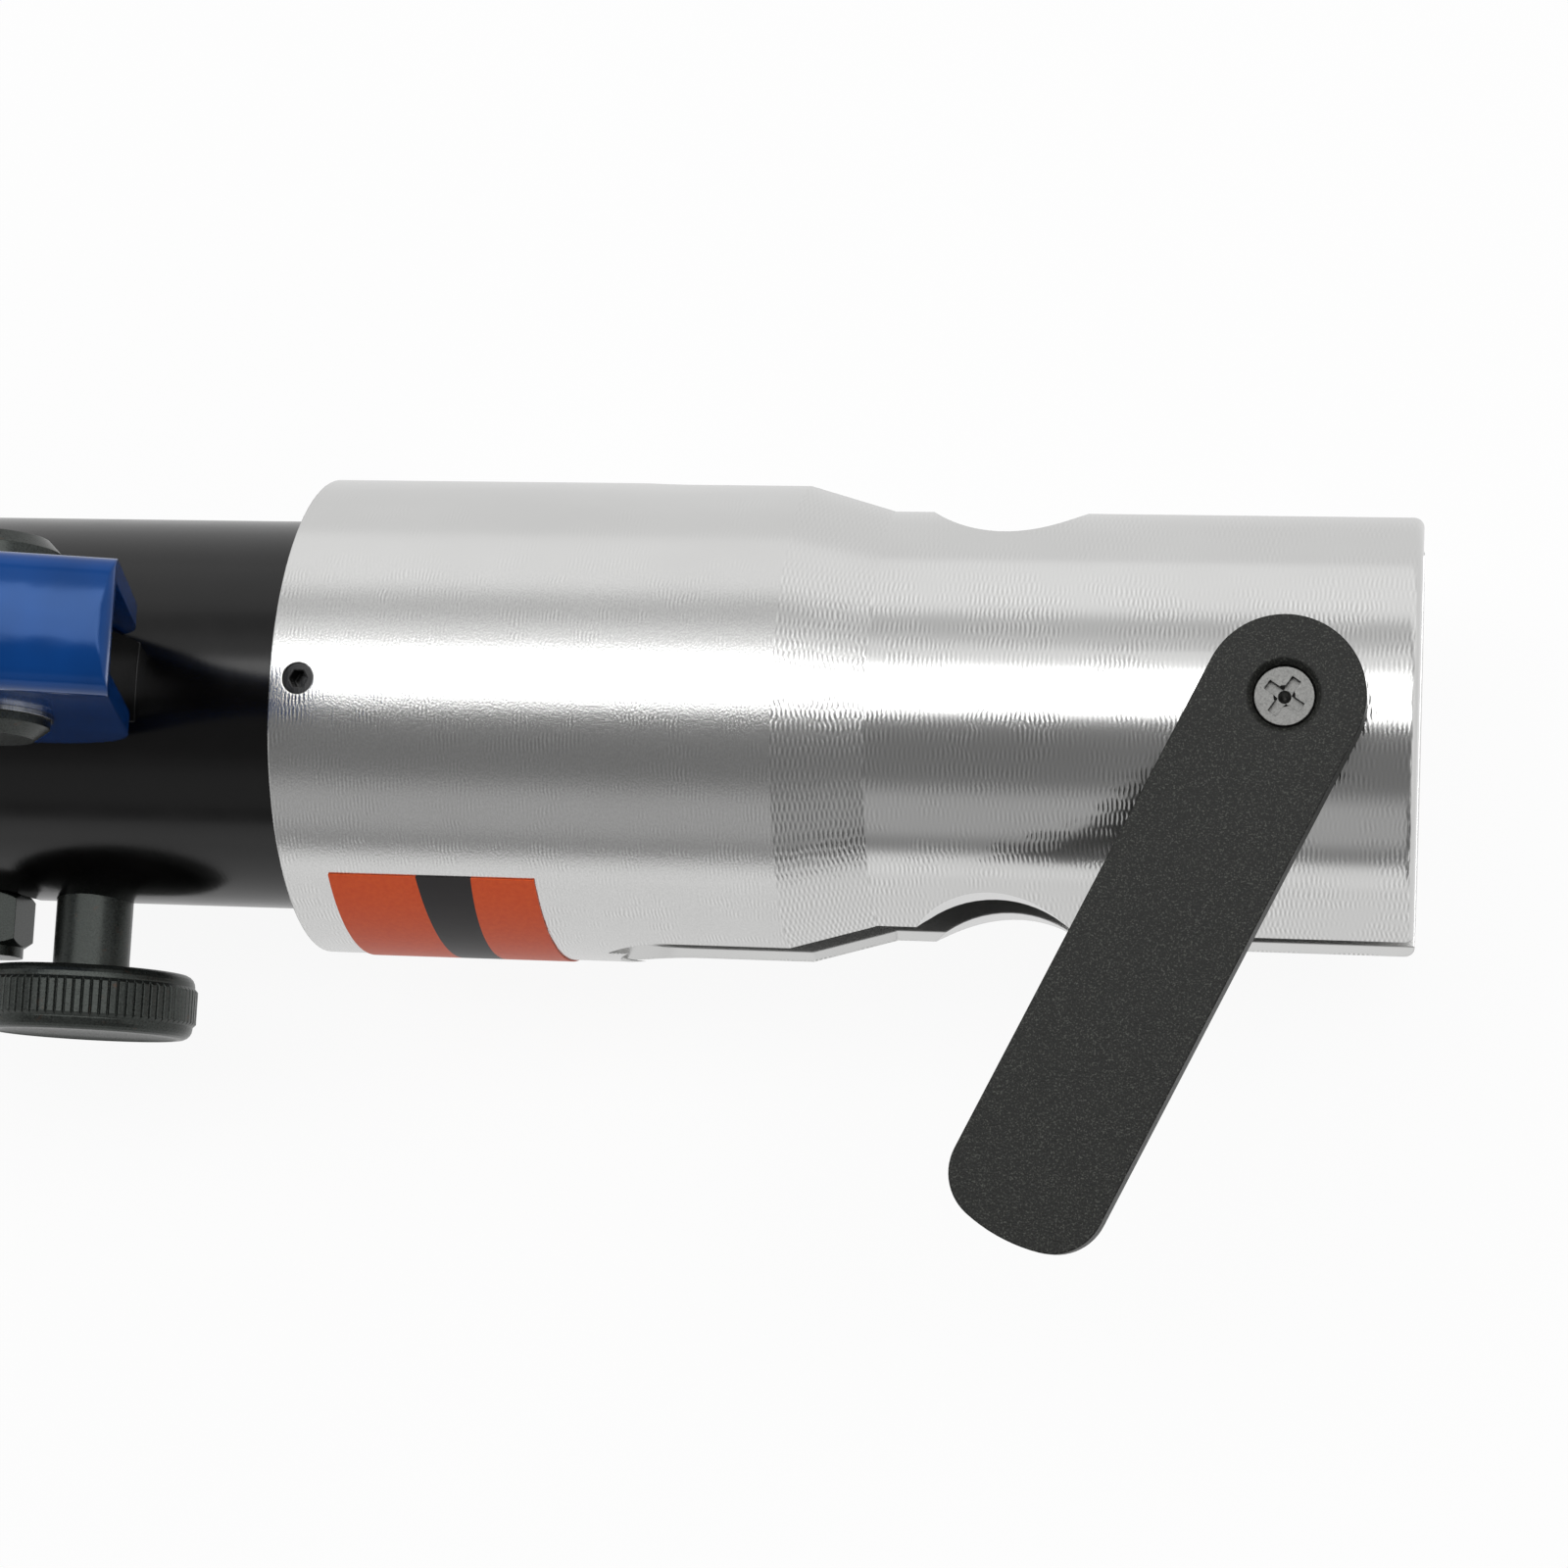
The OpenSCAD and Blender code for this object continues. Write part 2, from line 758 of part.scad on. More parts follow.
// Seal ring in the piston's groove
module piston_seal() {
    piston_r = ram_bore / 2 - fit;
    color("#1d1d1d")
        difference() {
            bar_x(piston_x + 3, piston_x + piston_len - 3, piston_r);
            bar_x(piston_x, piston_x + piston_len, piston_r - 3);
        }
}

// Return spring round the rod, a plain sleeve with the coils' outline
module return_spring() {
    wire = 2;
    coils = 6;
    inner = rod_d / 2 + 1.2;
    room = gland_x - piston_front - 0.6;
    pitch = (room - wire) / (coils - 1);
    color("gray")
        union() {
            for (i = [0 : coils - 1])
                translate([piston_front + 0.3 + wire / 2 + i * pitch, 0, 0])
                    rotate([0, 90, 0])
                        rotate_extrude()
                            translate([inner + wire / 2, 0])
                                circle(d = wire, $fn = 24);
            difference() {
                bar_x(piston_front + 0.3 + wire / 2, gland_x - 0.3 - wire / 2, inner + wire * 0.7);
                bar_x(piston_front, gland_x, inner + wire * 0.3);
            }
        }
}

// Fork that carries the two rollers between the head's cheeks
module roller_carriage() {
    half = roller_pitch / 2 + carriage_arm;
    back_corner = 4;
    color("slategray")
        difference() {
            linear_extrude(carriage_t, center = true)
                difference() {
                    union() {
                        translate([carriage_x, -half])
                            square([roller_x - carriage_x, 2 * half]);
                        for (side = [-1, 1])
                            translate([roller_x, side * roller_pitch / 2])
                                circle(r = carriage_arm);
                    }
                    for (side = [-1, 1])
                        translate([carriage_x, side * half])
                            rotate([0, 0, 45])
                                square(back_corner, center = true);
                }
            translate([carriage_x + carriage_wall, -half - over, -roller_slot / 2])
                cube([roller_x - carriage_x + carriage_arm, 2 * half + 2 * over, roller_slot]);
            bar_x(carriage_x - over, carriage_x + carriage_wall, rod_tip_d / 2);
            translate([carriage_x + carriage_wall / 2, 0, 0])
                bar_z(-carriage_t, carriage_t, dowel_d / 2);
            for (side = [-1, 1])
                translate([roller_x, side * roller_pitch / 2, 0])
                    bar_z(-carriage_t, carriage_t, roller_pin_d / 2);
        }
}

// Dowel that locks the rod's tip in the carriage
module carriage_dowel() {
    color("gainsboro")
        translate([carriage_x + carriage_wall / 2, 0, 0])
            bar_z(-carriage_t / 2 + 0.3, carriage_t / 2 - 0.3, dowel_d / 2);
}

// The two pins that the rollers turn on
module roller_pins() {
    color("gainsboro")
        for (side = [-1, 1])
            translate([roller_x, side * roller_pitch / 2, 0])
                bar_z(-carriage_t / 2 + 0.2, carriage_t / 2 - 0.2, roller_pin_d / 2);
}

// One hardened roller with rounded rims
module roller(side) {
    r = roller_d / 2;
    h = roller_t / 2;
    color("silver")
        translate([roller_x, side * roller_pitch / 2, 0])
            turned_z([
                [roller_pin_d / 2 + fit, -h], [r - 0.8, -h], [r, -h + 0.8],
                [r, h - 0.8], [r - 0.8, h], [roller_pin_d / 2 + fit, h]
            ]);
}

module upper_roller() {
    roller(1);
}

module lower_roller() {
    roller(-1);
}

// Pump

// Shouldered pin that the pump handle turns on, headed on the +Y side
module pivot_pin() {
    y0 = -yoke_r - washer_t - pivot_nut_t + 0.4;
    head = yoke_r + pivot_head_t;
    color("#33352f")
        translate([pivot_x, 0, pivot_z])
            turned_y([
                [0, y0], [pivot_d / 2, y0], [pivot_d / 2, yoke_r], [pivot_head_d / 2, yoke_r],
                [pivot_head_d / 2, head - 1.6], [pivot_head_d / 2 - 1.6, head], [0, head]
            ]);
}

// Thin washer under the nut
module pivot_washer() {
    color("gray")
        translate([pivot_x, 0, pivot_z])
            difference() {
                bar_y(-yoke_r - washer_t, -yoke_r, pivot_head_d / 2 + 0.4);
                bar_y(-yoke_r - 2 * washer_t, 0, pivot_d / 2);
            }
}

// Low round nut with a broad chamfer on the -Y side
module pivot_nut() {
    y1 = -yoke_r - washer_t;
    y0 = y1 - pivot_nut_t;
    color("#33352f")
        translate([pivot_x, 0, pivot_z])
            difference() {
                turned_y([
                    [0, y0], [pivot_head_d / 2 - 1.8, y0], [pivot_head_d / 2, y0 + 1.5],
                    [pivot_head_d / 2, y1], [0, y1]
                ]);
                bar_y(y0 + 0.4, y1 + over, pivot_d / 2);
            }
}

// Hardened plunger with a flat eye, whose slot lets the pin swing
module plunger() {
    eye_t = min(lug_w, plunger_d) - 0.2;
    color("lightsteelblue")
        difference() {
            union() {
                translate([plunger_x, 0, 0])
                    bar_z(plunger_low, plunger_pin_z, plunger_d / 2);
                translate([plunger_x, 0, plunger_pin_z])
                    plate_y(eye_t)
                        union() {
                            square([eye_w - eye_h, eye_h], center = true);
                            for (side = [-1, 1])
                                translate([side * (eye_w - eye_h) / 2, 0])
                                    circle(d = eye_h);
                        }
            }
            translate([plunger_x, 0, plunger_pin_z])
                plate_y(2 * plunger_d)
                    union() {
                        square([2 * eye_play, eye_slot_h], center = true);
                        for (side = [-1, 1])
                            translate([side * eye_play, 0])
                                circle(d = eye_slot_h);
                    }
        }
}

// Pin through both sides of the yoke and the plunger's eye
module plunger_pin() {
    color("gainsboro")
        translate([plunger_pin_x, 0, plunger_pin_z])
            turned_y([
                [0, -yoke_r - 1.8], [plunger_pin_d / 2, -yoke_r - 1.8], [plunger_pin_d / 2, yoke_r],
                [plunger_pin_d / 2 + 1.5, yoke_r], [plunger_pin_d / 2 + 1.5, yoke_r + 1.4], [0, yoke_r + 1.4]
            ]);
}

// Push-on retaining clip at the pin's other end
module plunger_clip() {
    color("gray")
        translate([plunger_pin_x, 0, plunger_pin_z])
            difference() {
                bar_y(-yoke_r - 1, -yoke_r, plunger_pin_d / 2 + 1.8);
                bar_y(-yoke_r - 2, 0, plunger_pin_d / 2);
            }
}

// Screwed bush that guides the plunger, flush with the milled flat
module plunger_gland() {
    color("darkgoldenrod")
        translate([plunger_x, 0, 0])
            difference() {
                bar_z(spot_z - pump_gland_len, spot_z, pump_gland_d / 2);
                bar_z(0, body_r, plunger_d / 2 + fit);
            }
}

// Seal ring below the bush
module plunger_seal() {
    color("#1d1d1d")
        translate([plunger_x, 0, 0])
            difference() {
                bar_z(spot_z - pump_gland_len - seal_h, spot_z - pump_gland_len, pump_gland_d / 2);
                bar_z(0, body_r, plunger_d / 2 + fit);
            }
}

// Check ball of the suction passage, on its seat
module suction_ball() {
    color("silver")
        translate([suction_seat + ball_up, 0, suction_z])
            sphere(d = check_d);
}

// Check ball of the delivery passage, on its seat
module delivery_ball() {
    color("silver")
        translate([bore_x - check_room + ball_up, 0, delivery_z])
            sphere(d = check_d);
}

// Pump handle

// Side view of the yoke in the handle's frame
module yoke_side() {
    c = yoke_corner;
    polygon(concat(
        arc(yoke_front - yoke_nose, yoke_rise - yoke_nose, yoke_nose, 90, 0, 6),
        arc(yoke_front - c, -yoke_low + c, c, 0, -90, 12),
        [[-0.42 * yoke_back, -yoke_low], [-0.9 * yoke_back, socket_up - 6]],
        [[-yoke_back - 2, socket_up - 6], [-yoke_back - 2, yoke_rise]]
    ));
}

// Filled outline of a channel seen from its end: straight sides, round bends and a crowned top
module crowned_end(half, top, crown, bend, depth) {
    crown_z = top - crown;
    bend_y = half - bend;
    bend_z = crown_z + sqrt(pow(crown - bend, 2) - bend_y * bend_y);
    reach = asin(bend_y / (crown - bend));
    translate([-half, bend_z - depth])
        square([2 * half, depth]);
    for (side = [-1, 1])
        translate([side * bend_y, bend_z])
            circle(r = bend);
    translate([0, crown_z])
        intersection() {
            circle(r = crown);
            polygon([
                [0, 0], [2 * crown * sin(reach), 2 * crown * cos(reach)],
                [-2 * crown * sin(reach), 2 * crown * cos(reach)]
            ]);
        }
}

// Cross-section of the yoke's channel, open downwards
module yoke_section() {
    depth = yoke_rise + yoke_low + over;
    difference() {
        crowned_end(yoke_r, yoke_rise, web_crown, yoke_bend, depth);
        crowned_end(
            yoke_r - yoke_sheet, yoke_rise - yoke_sheet, web_crown - yoke_sheet, yoke_inner_bend,
            depth + over
        );
    }
}

// Pressed steel channel with the socket of the handle tube welded to its end
module handle_yoke() {
    hollow_half = yoke_r - web_land;
    hollow_r = (hollow_half * hollow_half + web_hollow * web_hollow) / (2 * web_hollow);
    color("#12468c")
        in_handle()
            difference() {
                union() {
                    intersection() {
                        plate_y(2 * yoke_w)
                            yoke_side();
                        translate([yoke_front + over, 0, 0])
                            rotate([90, 0, -90])
                                linear_extrude(yoke_front + yoke_back + 2 + over)
                                    yoke_section();
                    }
                    translate([0, 0, socket_up])
                        turned_x([
                            [0, -yoke_back - socket_len], [socket_d / 2 - 0.8, -yoke_back - socket_len],
                            [socket_d / 2, -yoke_back - socket_len + 0.8], [socket_d / 2, -yoke_back - 1.5],
                            [socket_d / 2 - 1.5, -yoke_back], [0, -yoke_back]
                        ]);
                }
                translate([yoke_front - web_hollow + hollow_r, 0, 0])
                    bar_z(-yoke_low, yoke_rise + over, hollow_r);
                bar_y(-yoke_w, yoke_w, pivot_d / 2 + fit);
                translate([-plunger_arm * cos(swing_low), 0, -plunger_arm * sin(swing_low)])
                    bar_y(-yoke_w, yoke_w, plunger_pin_d / 2);
                translate([0, 0, socket_up])
                    bar_x(-yoke_back - socket_len - over, -yoke_back - 5, lift_tube_d / 2);
                translate([-yoke_back - socket_len / 2, 0, socket_up])
                    bar_y(-socket_d, socket_d, 2.5);
            }
}

// Steel tube of the pump handle
module handle_tube() {
    color("#2a2a2c")
        in_handle()
            translate([0, 0, socket_up])
                difference() {
                    bar_x(-handle_len + plug_t, -yoke_back - 5, lift_tube_d / 2);
                    bar_x(-handle_len, -yoke_back, lift_tube_d / 2 - lift_tube_wall);
                    translate([-yoke_back - socket_len / 2, 0, 0])
                        bar_y(-socket_d, socket_d, 2.5);
                }
}

// Rivet that holds the tube in its socket
module tube_pin() {
    color("#2a2a2c")
        in_handle()
            translate([-yoke_back - socket_len / 2, 0, socket_up])
                turned_y([
                    [0, -socket_d / 2 - 1], [2.5, -socket_d / 2 - 0.2], [2.5, socket_d / 2 + 0.2],
                    [0, socket_d / 2 + 1]
                ]);
}

// Half outline of a grip with finger waves, as [radius, x] points
function grip_outline(x0, x1, r, bore, waves) =
    let (
        steps = waves * 6,
        end = 4,
        run = x1 - x0 - 2 * end
    )
    concat(
        [[bore, x0], [r - 3, x0], [r - 1, x0 + 1.5]],
        [for (i = [0 : steps])
            [r - grip_wave * (1 - cos(360 * waves * i / steps)) / 2, x0 + end + run * i / steps]],
        [[r - 1, x1 - 1.5], [r - 3, x1], [bore, x1]]
    );

// Rubber grip of the pump handle
module handle_grip() {
    color("#1f1f20")
        in_handle()
            translate([0, 0, socket_up])
                turned_x(grip_outline(
                    -handle_len + plug_t / 2, -handle_len + lift_grip_len, lift_grip_d / 2,
                    lift_tube_d / 2, 4
                ));
}

// Plastic plug in the end of the pump handle's tube
module handle_plug() {
    r = lift_tube_d / 2 - lift_tube_wall;
    color("#1f1f20")
        in_handle()
            translate([0, 0, socket_up])
                turned_x([
                    [0, -handle_len], [r, -handle_len], [r + 1.2, -handle_len + 1],
                    [r + 1.2, -handle_len + plug_t / 2], [lift_tube_d / 2, -handle_len + plug_t / 2],
                    [lift_tube_d / 2, -handle_len + plug_t], [r, -handle_len + plug_t],
                    [r, -handle_len + plug_t + 10], [0, -handle_len + plug_t + 10]
                ]);
}

// Release and relief valves

// Spindle whose needle closes the passage back to the reservoir
module release_spindle() {
    r = spindle_d / 2;
    low = knob_y - knob_t + dish_depth;
    seat_r = passage_d / 2 - fit;
    needle = -spindle_end - needle_len;
    tip = -spindle_end + seat_r * needle_len / (r - seat_r);
    color("#3c403d")
        translate([release_x, 0, 0])
            turned_y([
                [0, low], [r, low], [r, needle - 2 - spindle_groove_w],
                [r - spindle_groove_depth, needle - 2 - spindle_groove_w],
                [r - spindle_groove_depth, needle - 2], [r, needle - 2], [r, needle], [0, tip]
            ]);
}

// Ring in the spindle's groove
module spindle_seal() {
    r = spindle_d / 2;
    y1 = -spindle_end - needle_len - 2;
    color("#1d1d1d")
        translate([release_x, 0, 0])
            difference() {
                bar_y(y1 - spindle_groove_w, y1, r);
                bar_y(y1 - spindle_groove_w - over, y1 + over, r - spindle_groove_depth);
            }
}

// Outline of the knob's ribs: flat tops with narrow grooves between them
module ribbed_circle(r) {
    pitch = 360 / knob_ribs;
    polygon([for (i = [0 : knob_ribs - 1]) for (step = [0 : 2])
        let (
            a = pitch * (i + [0, rib_top, (1 + rib_top) / 2][step]),
            q = step == 2 ? r - rib_depth : r
        )
        [q * cos(a), q * sin(a)]]);
}

// Straight-knurled knob with smooth rounded shoulders and a dished outer face
module release_knob() {
    r = knob_d / 2;
    y1 = knob_y;
    y0 = knob_y - knob_t;
    e = knob_round;
    shoulder_r = r - rib_depth - 0.05;
    dish_r = shoulder_r - e - 0.6;
    color("#3c403d")
        translate([release_x, 0, 0])
            difference() {
                intersection() {
                    translate([0, y1, 0])
                        rotate([90, 0, 0])
                            linear_extrude(knob_t)
                                ribbed_circle(r);
                    turned_y(concat(
                        [[0, y0]],
                        arc(shoulder_r - e, y0 + e, e, -90, 0, 5),
                        [
                            [shoulder_r, y0 + knob_shoulder], [r + 0.05, y0 + knob_shoulder + 0.5],
                            [r + 0.05, y1 - knob_shoulder - 0.5], [shoulder_r, y1 - knob_shoulder]
                        ],
                        arc(shoulder_r - e, y1 - e, e, 0, 90, 5),
                        [[0, y1]]
                    ));
                }
                turned_y(concat(
                    [[0, y0 - over], [dish_r + 0.4, y0 - over], [dish_r + 0.1, y0 + 0.1]],
                    [for (i = [1 : 5]) [dish_r * cos(18 * i), y0 + dish_depth * sin(18 * i)]]
                ));
                bar_y(y0, y1 + over, spindle_d / 2);
            }
}

// Chamfered hexagon plug of the relief valve, with a round boss at its end
module relief_plug() {
    y_head = -relief_seat - relief_head_t;
    corner_r = relief_af / cos(30) / 2;
    chamfer = corner_r - relief_af / 2;
    color("#2b2d2a")
        translate([relief_x, 0, 0])
            difference() {
                union() {
                    intersection() {
                        translate([0, -relief_seat, 0])
                            rotate([90, 0, 0])
                                rotate([0, 0, 30])
                                    cylinder(h = relief_head_t, d = 2 * corner_r, $fn = 6);
                        turned_y([
                            [0, y_head], [relief_af / 2 - 0.1, y_head], [corner_r + 0.1, y_head + chamfer],
                            [corner_r + 0.1, -relief_seat - chamfer], [relief_af / 2 - 0.1, -relief_seat],
                            [0, -relief_seat]
                        ]);
                    }
                    bar_y(y_head - relief_boss_t, y_head + 1, relief_af / 2 - 0.3);
                    bar_y(-relief_seat - 1, -body_r + relief_shank, relief_thread_d / 2);
                }
                bar_y(-body_r - 1, -body_r + relief_shank + over, relief_spring_r + 0.4);
            }
}

// Relief spring in the plug's bore, a plain sleeve that ends on the ball
module relief_spring() {
    ball_y = relief_y - ball_up;
    reach = sqrt(pow(check_d / 2, 2) - pow(relief_spring_bore, 2));
    color("gray")
        translate([relief_x, 0, 0])
            difference() {
                bar_y(-body_r - 1, ball_y - reach - fit, relief_spring_r);
                bar_y(-body_r - 2, ball_y, relief_spring_bore);
            }
}

// Relief ball pressed on its seat
module relief_ball() {
    color("silver")
        translate([relief_x, relief_y - ball_up, 0])
            sphere(d = check_d);
}

// Fixed handle

// Reservoir tube, pushed over the body's rear neck
module oil_tank() {
    color("#2a2a2c")
        difference() {
            bar_x(tank_x, body_x, tank_r);
            bar_x(tank_x - over, body_x + over, tank_bore_r);
        }
}

// Rubber oil bladder, pushed over the body's snout
module oil_bladder() {
    x1 = body_x - neck_len;
    x0 = x1 - bladder_len;
    r = bladder_r;
    inner = bladder_r - bladder_wall;
    color("#3a3a3a")
        turned_x(concat(
            arc_end(x0 + r, r),
            [[r, x1], [inner, x1]],
            reverse(arc_end(x0 + r, inner))
        ));
}

// Points of a half-round closed end about x, from the axis out to radius r
function arc_end(x, r) = [for (i = [0 : 6]) let (a = 90 * i / 6) [r * sin(a), x - r * cos(a)]];

// The same list from its end to its start
function reverse(list) = [for (i = [len(list) - 1 : -1 : 0]) list[i]];

// Ring that clamps the bladder's mouth on the snout
module bladder_clamp() {
    x1 = body_x - neck_len - 2;
    color("gainsboro")
        difference() {
            bar_x(x1 - clamp_len, x1, bladder_r + 1);
            bar_x(x1 - clamp_len - over, x1 + over, bladder_r);
        }
}

// Cap of the reservoir, with a flat face to stand on
module tank_cap() {
    x0 = tank_x - cap_t;
    color("#1f1f20")
        difference() {
            turned_x([
                [0, x0], [cap_r - 2, x0], [cap_r, x0 + 2], [cap_r, tank_x],
                [tank_bore_r, tank_x], [tank_bore_r, tank_x + 3],
                [tank_bore_r - 1.5, tank_x + 3], [tank_bore_r - 1.5, tank_x + 5.4],
                [tank_bore_r, tank_x + 5.4], [tank_bore_r, tank_x + cap_plug - 1],
                [tank_bore_r - 1, tank_x + cap_plug], [0, tank_x + cap_plug]
            ]);
            bar_x(x0 - over, x0 + 3, filler_d / 2 + 2);
            bar_x(x0, tank_x + cap_plug + over, filler_d / 2 - 1);
        }
}

// Ring in the cap's groove
module cap_seal() {
    color("#1d1d1d")
        difference() {
            bar_x(tank_x + 3, tank_x + 5.4, tank_bore_r);
            bar_x(tank_x, tank_x + 6, tank_bore_r - 1.5);
        }
}

// Socket plug that closes the filling hole, sunk below the cap's face
module filler_plug() {
    x0 = tank_x - cap_t + 0.6;
    seat = tank_x - cap_t + 3;
    color("gainsboro")
        difference() {
            union() {
                bar_x(x0, seat, filler_d / 2 + 1);
                bar_x(seat, seat + 9, filler_d / 2 - 1);
            }
            translate([x0 - over, 0, 0])
                rotate([0, 90, 0])
                    cylinder(h = 5 + over, d = 6 / cos(30), $fn = 6);
        }
}

// Rubber grip over the reservoir tube
module fixed_grip() {
    color("#1f1f20")
        turned_x(grip_outline(tank_x, tank_x + grip_len, grip_d / 2, tank_r, 4));
}

fork_head();
head_set_screws();
head_label();
jaw_pin();
detent_ball();
detent_spring();
lock_lever();
lever_screw();
pump_body();
gland_nut();
rod_wiper();
piston_rod();
piston_seal();
return_spring();
roller_carriage();
carriage_dowel();
roller_pins();
upper_roller();
lower_roller();
pivot_pin();
pivot_washer();
pivot_nut();
plunger();
plunger_pin();
plunger_clip();
plunger_gland();
plunger_seal();
suction_ball();
delivery_ball();
handle_yoke();
handle_tube();
tube_pin();
handle_grip();
handle_plug();
release_spindle();
spindle_seal();
release_knob();
relief_plug();
relief_spring();
relief_ball();
oil_tank();
oil_bladder();
bladder_clamp();
tank_cap();
cap_seal();
filler_plug();
fixed_grip();
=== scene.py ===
"""Finishes, floor, light and camera for the hydraulic crimping tool."""

import math

import bpy
from mathutils import Matrix, Vector


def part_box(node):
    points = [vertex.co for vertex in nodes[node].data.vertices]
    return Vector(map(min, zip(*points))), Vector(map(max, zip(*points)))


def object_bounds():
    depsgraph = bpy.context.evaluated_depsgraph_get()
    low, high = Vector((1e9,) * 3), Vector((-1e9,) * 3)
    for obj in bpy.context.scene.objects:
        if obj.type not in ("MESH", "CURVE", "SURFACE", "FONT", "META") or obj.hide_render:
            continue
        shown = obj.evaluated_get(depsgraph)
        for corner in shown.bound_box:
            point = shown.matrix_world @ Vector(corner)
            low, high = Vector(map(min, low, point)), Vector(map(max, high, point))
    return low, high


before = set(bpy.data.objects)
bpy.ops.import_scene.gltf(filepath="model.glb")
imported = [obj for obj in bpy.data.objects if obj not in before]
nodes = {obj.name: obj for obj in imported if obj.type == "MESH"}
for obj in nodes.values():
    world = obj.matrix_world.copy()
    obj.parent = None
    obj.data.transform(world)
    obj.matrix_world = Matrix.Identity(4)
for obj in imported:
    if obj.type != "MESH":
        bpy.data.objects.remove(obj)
cad_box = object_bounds()

MM = 0.001

# The head's turned outline, in millimetres along X and from the axis
CONE_START = -61.5
CONE_END = -50.5
SHANK_EDGE = 30.75
NOSE_EDGE = 27.75
MEAN_RADIUS = 30.0

# The label's black band, in millimetres from the label's rear edge, and the Y over which it leans
BAND_START = 11.3
BAND_END = 18.4
LEAN_FROM = -23.2
LEAN_TO = -29.9


# Colours and shader nodes

def linear(colour):
    """Turns an sRGB colour such as "#0B3F86" into the linear RGBA that shaders take."""
    parts = [int(colour[i:i + 2], 16) / 255 for i in (1, 3, 5)]
    return tuple(p / 12.92 if p <= 0.04045 else ((p + 0.055) / 1.055) ** 2.4
                 for p in parts) + (1.0,)


def fill(tree, node, inputs):
    """Gives inputs a number, a hex colour, a socket, or another node's first output."""
    for name, value in inputs.items():
        if isinstance(value, bpy.types.Node):
            value = value.outputs[0]
        if isinstance(value, bpy.types.NodeSocket):
            tree.links.new(value, node.inputs[name])
        else:
            node.inputs[name].default_value = linear(value) if isinstance(value, str) else value


def add(tree, kind, inputs=None, **settings):
    """Adds a shader node with its settings and links."""
    made = tree.nodes.new("ShaderNode" + kind)
    for name, value in settings.items():
        setattr(made, name, value)
    fill(tree, made, inputs or {})
    return made


def new_finish(name, **sockets):
    """Makes a material with one Principled shader and sets its constant sockets."""
    material = bpy.data.materials.new(name)
    material.use_nodes = True
    tree = material.node_tree
    shader = tree.nodes["Principled BSDF"]
    fill(tree, shader, {socket.replace("_", " "): value for socket, value in sockets.items()})
    return material, tree, shader


# What the finishes share

def place(tree, scale=(1, 1, 1)):
    """Object coordinates in millimetres, stretched by scale."""
    where = add(tree, "TexCoord").outputs["Object"]
    return add(tree, "Mapping", {"Vector": where, "Scale": tuple(s / MM for s in scale)})


def speckle(tree, size, stretch=(1, 1, 1), detail=3.0, roughness=0.6):
    """Grains of size millimetres, longer along an axis where stretch is larger."""
    vector = place(tree, tuple(1 / (size * s) for s in stretch))
    return add(tree, "TexNoise", {"Vector": vector, "Scale": 1.0, "Detail": detail,
                                  "Roughness": roughness})


def two_tones(tree, grain, first, second, most=1.0, start=0.3, stop=0.7):
    """The first colour, turning to the second by up to most where the grain is strong."""
    share = add(tree, "MapRange", {"Value": grain, "From Min": start, "From Max": stop,
                                   "To Max": most})
    return add(tree, "Mix", {0: share, 6: first, 7: second}, data_type="RGBA").outputs[2]


def uneven_gloss(tree, shader, grain, smooth, rough):
    """Lets a finish's roughness follow its grain."""
    gloss = add(tree, "MapRange", {"Value": grain, "From Min": 0.3, "From Max": 0.7,
                                   "To Min": smooth, "To Max": rough})
    fill(tree, shader, {"Roughness": gloss})


def raised_grain(tree, shader, grain, depth, edge):
    """Raises the grain by depth millimetres, over edges rounded by edge millimetres."""
    rounded = add(tree, "Bevel", {"Radius": edge * MM}, samples=6)
    felt = add(tree, "Bump", {"Height": grain, "Distance": depth * MM, "Normal": rounded})
    fill(tree, shader, {"Normal": felt})


def lathe_marks(tree, feed, length, wander):
    """The feed's rings, which chatter breaks into staggered dashes length millimetres long."""
    sides = add(tree, "SeparateXYZ", {"Vector": place(tree)})
    drift = add(tree, "TexNoise", {"Vector": place(tree, (0.4, 0.4, 0.4)), "Scale": 1.0,
                                   "Detail": 3.0})
    shift = add(tree, "SeparateXYZ", {"Vector": drift.outputs["Color"]})
    along = add(tree, "Math", {0: shift.outputs["X"], 1: wander * feed, 2: sides.outputs["X"]},
                operation="MULTIPLY_ADD")
    turn = add(tree, "Math", {0: sides.outputs["Y"], 1: sides.outputs["Z"]}, operation="ARCTAN2")
    arc = add(tree, "Math", {0: turn, 1: MEAN_RADIUS}, operation="MULTIPLY")
    around = add(tree, "Math", {0: shift.outputs["Y"], 1: wander * length, 2: arc},
                 operation="MULTIPLY_ADD")
    ring_phase = add(tree, "Math", {0: along, 1: 2 * math.pi / feed}, operation="MULTIPLY")
    rings = add(tree, "Math", {0: ring_phase}, operation="SINE")
    break_phase = add(tree, "Math", {0: around, 1: math.pi / length}, operation="MULTIPLY")
    breaks = add(tree, "Math", {0: break_phase}, operation="COSINE")
    return add(tree, "Math", {0: rings, 1: breaks}, operation="MULTIPLY")


# Finishes

